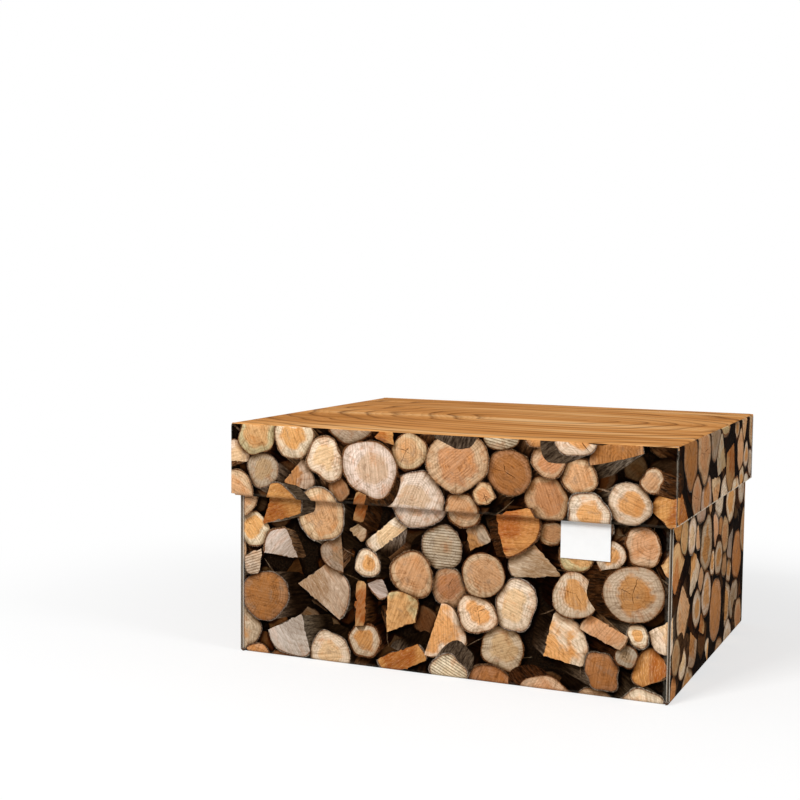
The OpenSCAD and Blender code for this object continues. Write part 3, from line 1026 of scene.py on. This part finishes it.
# The plank's sheet laps over all four top creases as far as the mitre, with its corners out.
CORNER_CUT = 0.02  # how far short of the long creases its two end laps stop
flat_x, flat_y = lid_half_x - crease_r, lid_half_y - crease_r
corner = [(flat_x + mitre, flat_y - CORNER_CUT), (flat_x, flat_y - CORNER_CUT), (flat_x, flat_y + mitre)]
back_half = corner + [(-x, y) for x, y in reversed(corner)]
plank_outline = np.array(back_half + [(-x, -y) for x, y in back_half])
plank_folds = [(way, at, EVERYWHERE, 0) for way, at in (
    (LEFT, flat_x), (RIGHT, flat_x), (UP, flat_y), (DOWN, flat_y))]
plank = printed_sheet("lid_top_print", "lid", plank_outline, plank_folds, [], None,
                      (-math.pi / 2, 0, 0), (0, 0, total_h + SHEET_PROUD), plank_material)

# ---- The board's own panels ----
board_t = front_high.y - front_low.y
LOG_TONE, PLANK_TONE = ("#2E2118", "#5C422D"), ("#B98145", "#C9935A")
# Folded pieces: the heights of their flat faces, and the tone of the print round the fold.
FOLDED = {"base_panel": ((0.0, board_t), LOG_TONE),
          "lid_top_panel": ((total_h - board_t, total_h), PLANK_TONE)}
for rim in ("left_end_rim", "right_end_rim", "lid_front_rim", "lid_back_rim"):
    FOLDED[rim] = ((), LOG_TONE)
for name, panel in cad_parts.items():
    panel.data.materials.clear()
    if name == "label_tab":
        panel.data.materials.append(label_material())
        continue
    low, high = size_of(name)
    spans = list(high - low)
    thin = spans.index(min(spans))
    if name in FOLDED:
        faces, tone = FOLDED[name]
        look = board_material("board_" + name, 2, faces, 1, fold_tone=tone)
    elif name in ("lid_front_skirt", "lid_back_skirt"):
        look = board_material("board_" + name, 1, (low[1], high[1]), 2, DARK_CUT, DARK_CUT)
    else:
        look = board_material("board_" + name, thin, (low[thin], high[thin]), 2 if thin == 1 else 1)
    panel.data.materials.append(look)

# ---- Floor, light and camera ----
def ray_is_seen(add):
    """1 for a ray that the camera sees, straight or by way of gloss or glass, else 0."""
    paths = add("ShaderNodeLightPath").outputs
    straight_or_gloss = add(LARGER, paths["Is Camera Ray"], paths["Is Glossy Ray"])
    return add(LARGER, straight_or_gloss, paths["Is Transmission Ray"])


NEAR_WHITE = 0.60  # share of plain white in the paper beside the box
FADE_FROM, FADE_TO = 0.30, 0.70  # metres from the middle, between which that share grows to 1


def backdrop_paper():
    """Matt white paper that keeps the box's shadow. The camera sees it as plain white further
    off."""
    material, add, shader = new_material("matt_white_backdrop_paper", 0.9, 0.0)
    seen = ray_is_seen(add)
    colour = add(TINT, seen, linear("#C4C4C4"), linear("#FAFAFA"))
    feed(shader.inputs["Base Color"], colour)
    place = add(PLACE).outputs["Object"]
    from_middle = add(VECTOR_MATH, place, operation="LENGTH")
    plain = add(RANGE, from_middle, FADE_FROM, FADE_TO, NEAR_WHITE, 1.0, interpolation_type="SMOOTHSTEP")
    plain = add(TIMES, plain, seen)
    glow = add("ShaderNodeEmission", {"Color": (1, 1, 1, 1), "Strength": 1.0})
    look = add("ShaderNodeMixShader", plain, shader, glow)
    feed(material.node_tree.nodes["Material Output"].inputs["Surface"], look)
    return material


FLOOR_HALF = 9.0
floor_corners = rectangle(-FLOOR_HALF, -FLOOR_HALF, FLOOR_HALF, FLOOR_HALF)
floor_mesh = bpy.data.meshes.new("studio_floor")
floor_mesh.from_pydata([(x, y, 0) for x, y in floor_corners], [], [(0, 1, 2, 3)])
floor = in_scene("studio_floor", floor_mesh)

floor_mesh.materials.append(backdrop_paper())

world = bpy.data.worlds.new("studio")
bpy.context.scene.world = world
world.use_nodes = True
world.node_tree.nodes.clear()
FILL_LEVEL = 0.43  # how brightly the room lights the box all round
add = partial(add_node, world.node_tree)
level = add(RANGE, ray_is_seen(add), 0.0, 1.0, FILL_LEVEL, 1.0)
glow = add("ShaderNodeBackground", {"Color": (1, 1, 1, 1), "Strength": level})
add("ShaderNodeOutputWorld", glow)


AIM = Vector((0, 0, 0.1))  # the middle of the box


def softbox(name, place, size, power):
    lamp = bpy.data.lights.new(name, "AREA")
    lamp.shape = "SQUARE"
    lamp.size = size
    lamp.energy = power
    holder = in_scene(name, lamp)
    holder.location = place
    holder.rotation_euler = (AIM - Vector(place)).to_track_quat("-Z", "Y").to_euler()


softbox("key_softbox", (-0.8, -2.3, 1.75), 0.9, 62)
softbox("side_softbox", (2.4, -0.6, 1.5), 0.8, 23)

# The camera was worked out from the photograph's vertical and level edges.
PHOTO_PIXELS = 800
focal_pixels = 1412.3
camera_place = Vector((435.8, -1230.0, 325.4)) * MM
yaw, pitch, roll = math.radians(23.83), math.radians(4.60), math.radians(0.55)
look = Vector((-math.sin(yaw) * math.cos(pitch), math.cos(yaw) * math.cos(pitch), -math.sin(pitch)))
level_right = Vector((math.cos(yaw), math.sin(yaw), 0))
level_up = level_right.cross(look)
right = math.cos(roll) * level_right + math.sin(roll) * level_up
up = math.cos(roll) * level_up - math.sin(roll) * level_right
camera_data = bpy.data.cameras.new("camera")
camera_data.sensor_width = 36
camera_data.sensor_fit = "HORIZONTAL"
camera_data.lens = focal_pixels / PHOTO_PIXELS * camera_data.sensor_width
camera_data.clip_end = 50
camera = in_scene("camera", camera_data)
camera.matrix_world = Matrix.Translation(camera_place) @ Matrix((right, up, -look)).transposed().to_4x4()
bpy.context.scene.camera = camera
bpy.context.scene.view_settings.view_transform = "Standard"
